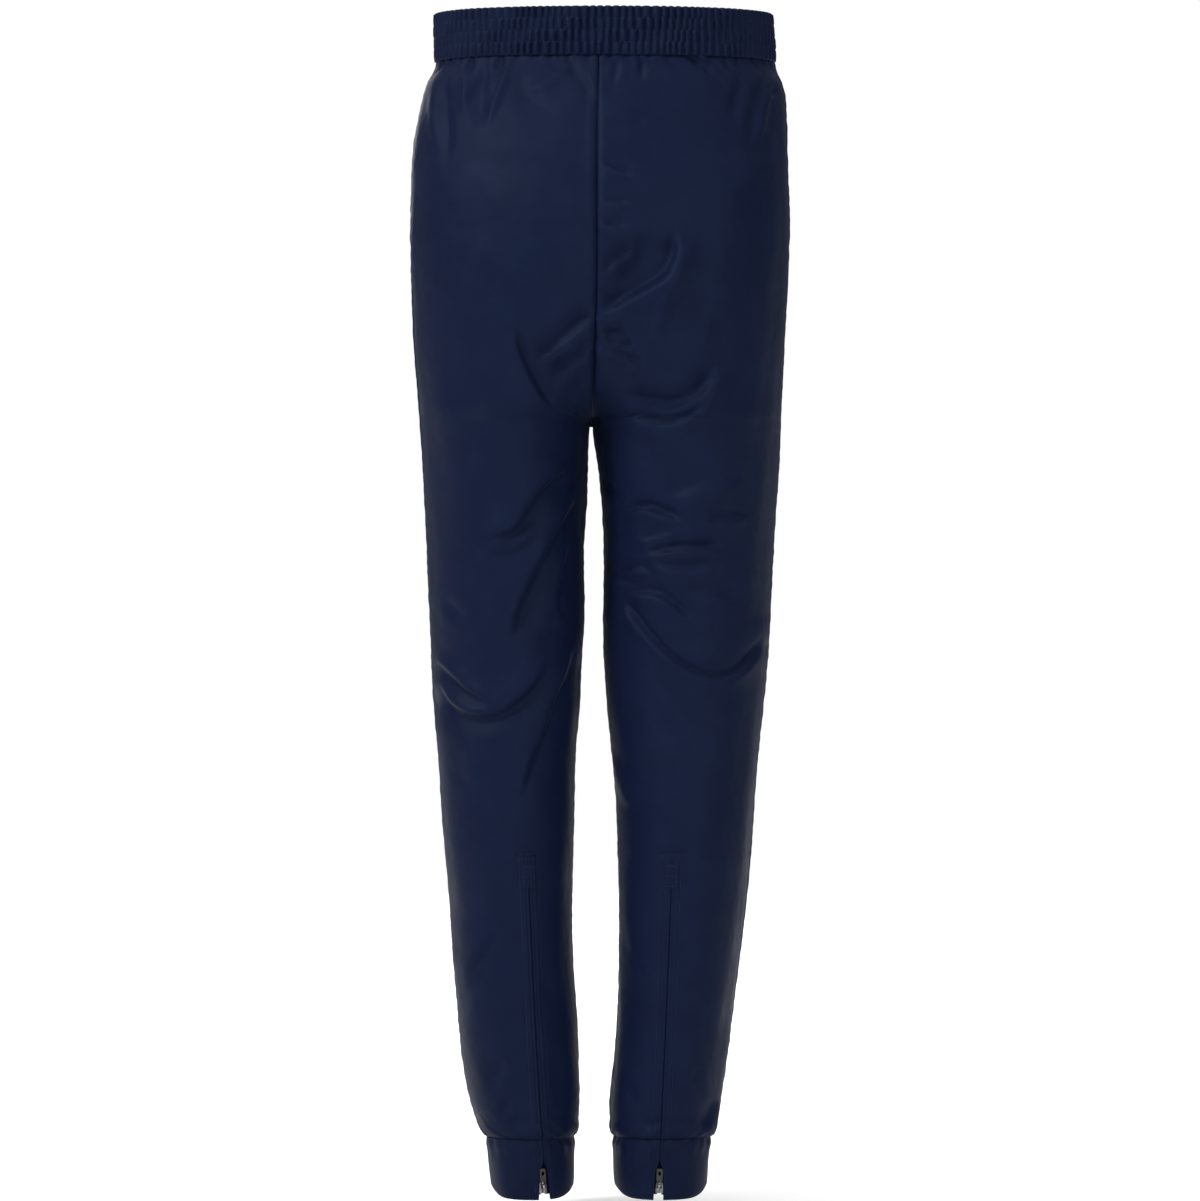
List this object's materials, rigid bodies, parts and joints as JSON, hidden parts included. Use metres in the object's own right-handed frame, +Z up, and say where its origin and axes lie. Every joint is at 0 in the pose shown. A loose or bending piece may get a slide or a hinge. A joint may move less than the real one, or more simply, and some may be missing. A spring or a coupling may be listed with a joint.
{
  "type": "elasticated training trousers with ankle zips",
  "caption": "Tapered knit training trousers with a gathered elastic waistband, seamed legs, side pockets, plain cuffs and a short zip up the back of each ankle.",
  "frame": {"origin": "centre of the waist opening, level with the waistband's top rim, where the wearer's waist holds the garment", "axes": "+Z up the garment, +Y towards the back of the garment, +X towards the wearer's left"},
  "size_m": [0.3363, 0.2455, 1.05],
  "materials": {
    "tricot": "navy warp-knit polyester with a light sheen",
    "waistband_cloth": "the same cloth, gathered over elastic",
    "cuff_knit": "doubled knit, matt",
    "elastic": "woven elastic, matt",
    "lining": "mesh lining, matt",
    "zip_tape": "woven tape, matt",
    "zip_coil": "satin nylon coil",
    "slider_metal": "satin grey metal",
    "pull_metal": "dark grey enamel",
    "label": "blank woven label"
  },
  "bodies": {
    "root": {"waistband_casing": "waistband_cloth", "waistband_elastic": "elastic", "drawcord_buttonhole_left": "zip_tape", "drawcord_buttonhole_right": "zip_tape", "size_label": "label", "pocket_bag_left": "lining", "front_panel_left_seat": "tricot", "front_panel_left_hip_fold": "tricot", "back_panel_left_seat": "tricot", "back_panel_left_hip_fold": "tricot", "pocket_bag_right": "lining", "front_panel_right_seat": "tricot", "front_panel_right_hip_fold": "tricot", "back_panel_right_seat": "tricot", "back_panel_right_hip_fold": "tricot"},
    "thigh_left": {"front_panel_left_thigh": "tricot", "back_panel_left_thigh": "tricot", "front_panel_left_knee_fold": "tricot", "back_panel_left_knee_fold": "tricot"},
    "shin_left": {"front_panel_left_shin": "tricot", "back_panel_left_shin": "tricot", "cuff_left": "cuff_knit", "zip_tape_left_outer": "zip_tape", "zip_coil_left_outer": "zip_coil", "zip_tape_left_inner": "zip_tape", "zip_coil_left_inner": "zip_coil", "zip_guard_left": "lining", "zip_patch_left": "tricot"},
    "zip_lip_left_outer": {"back_panel_left_lip_outer": "tricot", "cuff_left_end_outer": "cuff_knit"},
    "zip_lip_left_inner": {"back_panel_left_lip_inner": "tricot", "cuff_left_end_inner": "cuff_knit"},
    "zip_slider_left": {"zip_slider_left": "slider_metal"},
    "zip_pull_left": {"zip_pull_left": "pull_metal"},
    "thigh_right": {"front_panel_right_thigh": "tricot", "back_panel_right_thigh": "tricot", "front_panel_right_knee_fold": "tricot", "back_panel_right_knee_fold": "tricot"},
    "shin_right": {"front_panel_right_shin": "tricot", "back_panel_right_shin": "tricot", "cuff_right": "cuff_knit", "zip_tape_right_outer": "zip_tape", "zip_coil_right_outer": "zip_coil", "zip_tape_right_inner": "zip_tape", "zip_coil_right_inner": "zip_coil", "zip_guard_right": "lining", "zip_patch_right": "tricot"},
    "zip_lip_right_outer": {"back_panel_right_lip_outer": "tricot", "cuff_right_end_outer": "cuff_knit"},
    "zip_lip_right_inner": {"back_panel_right_lip_inner": "tricot", "cuff_right_end_inner": "cuff_knit"},
    "zip_slider_right": {"zip_slider_right": "slider_metal"},
    "zip_pull_right": {"zip_pull_right": "pull_metal"}
  },
  "joints": [
    {"name": "hip_left", "type": "hinge", "parent": "root", "child": "thigh_left", "pos_m": [0.085, -0.003, -0.388], "axis": [-1, 0, 0], "range_deg": [-15, 40], "deforming": ["front_panel_left_hip_fold", "back_panel_left_hip_fold"]},
    {"name": "knee_left", "type": "hinge", "parent": "thigh_left", "child": "shin_left", "pos_m": [0.085, -0.05, -0.6], "axis": [1, 0, 0], "range_deg": [0, 80], "deforming": ["front_panel_left_knee_fold", "back_panel_left_knee_fold"]},
    {"name": "zip_slide_left", "type": "slide", "parent": "shin_left", "child": "zip_slider_left", "axis": [0.049, 0.0987, 0.9939], "range_m": [0, 0.24], "deforming": ["zip_tape_left_outer", "zip_tape_left_inner", "zip_coil_left_outer", "zip_coil_left_inner"]},
    {"name": "pull_flip_left", "type": "hinge", "parent": "zip_slider_left", "child": "zip_pull_left", "pos_m": [0.04992, 0.04504, -1.0394], "axis": [-0.9386, -0.3356, 0.0796], "range_deg": [0, 170]},
    {"name": "zip_lip_left_outer_turn", "type": "hinge", "parent": "shin_left", "child": "zip_lip_left_outer", "pos_m": [0.06775, 0.08172, -0.76999], "axis": [0.0284, -0.1099, -0.9935], "range_deg": [0, 40]},
    {"name": "zip_lip_left_inner_turn", "type": "hinge", "parent": "shin_left", "child": "zip_lip_left_inner", "pos_m": [0.05336, 0.07692, -0.7698], "axis": [0.089, 0.1486, 0.9849], "range_deg": [0, 40]},
    {"name": "hip_right", "type": "hinge", "parent": "root", "child": "thigh_right", "pos_m": [-0.08, -0.003, -0.388], "axis": [-1, 0, 0], "range_deg": [-15, 40], "deforming": ["front_panel_right_hip_fold", "back_panel_right_hip_fold"]},
    {"name": "knee_right", "type": "hinge", "parent": "thigh_right", "child": "shin_right", "pos_m": [-0.08, -0.05, -0.6], "axis": [1, 0, 0], "range_deg": [0, 80], "deforming": ["front_panel_right_knee_fold", "back_panel_right_knee_fold"]},
    {"name": "zip_slide_right", "type": "slide", "parent": "shin_right", "child": "zip_slider_right", "axis": [-0.0394, 0.0973, 0.9945], "range_m": [0, 0.24], "deforming": ["zip_tape_right_outer", "zip_tape_right_inner", "zip_coil_right_outer", "zip_coil_right_inner"]},
    {"name": "pull_flip_right", "type": "hinge", "parent": "zip_slider_right", "child": "zip_pull_right", "pos_m": [-0.05217, 0.04648, -1.03929], "axis": [-0.9906, 0.1264, -0.0516], "range_deg": [0, 170]},
    {"name": "zip_lip_right_outer_turn", "type": "hinge", "parent": "shin_right", "child": "zip_lip_right_outer", "pos_m": [-0.06926, 0.08355, -0.77028], "axis": [0.0378, 0.1304, 0.9907], "range_deg": [0, 40]},
    {"name": "zip_lip_right_inner_turn", "type": "hinge", "parent": "shin_right", "child": "zip_lip_right_inner", "pos_m": [-0.0558, 0.0782, -0.76981], "axis": [0.0801, -0.11, -0.9907], "range_deg": [0, 40]}
  ],
  "couplings": [
    {"joint": "zip_lip_left_outer_turn", "follows": "zip_slide_left", "rad_per_m": 2.9089},
    {"joint": "zip_lip_left_inner_turn", "follows": "zip_slide_left", "rad_per_m": 2.9089},
    {"joint": "zip_lip_right_outer_turn", "follows": "zip_slide_right", "rad_per_m": 2.9089},
    {"joint": "zip_lip_right_inner_turn", "follows": "zip_slide_right", "rad_per_m": 2.9089}
  ]
}
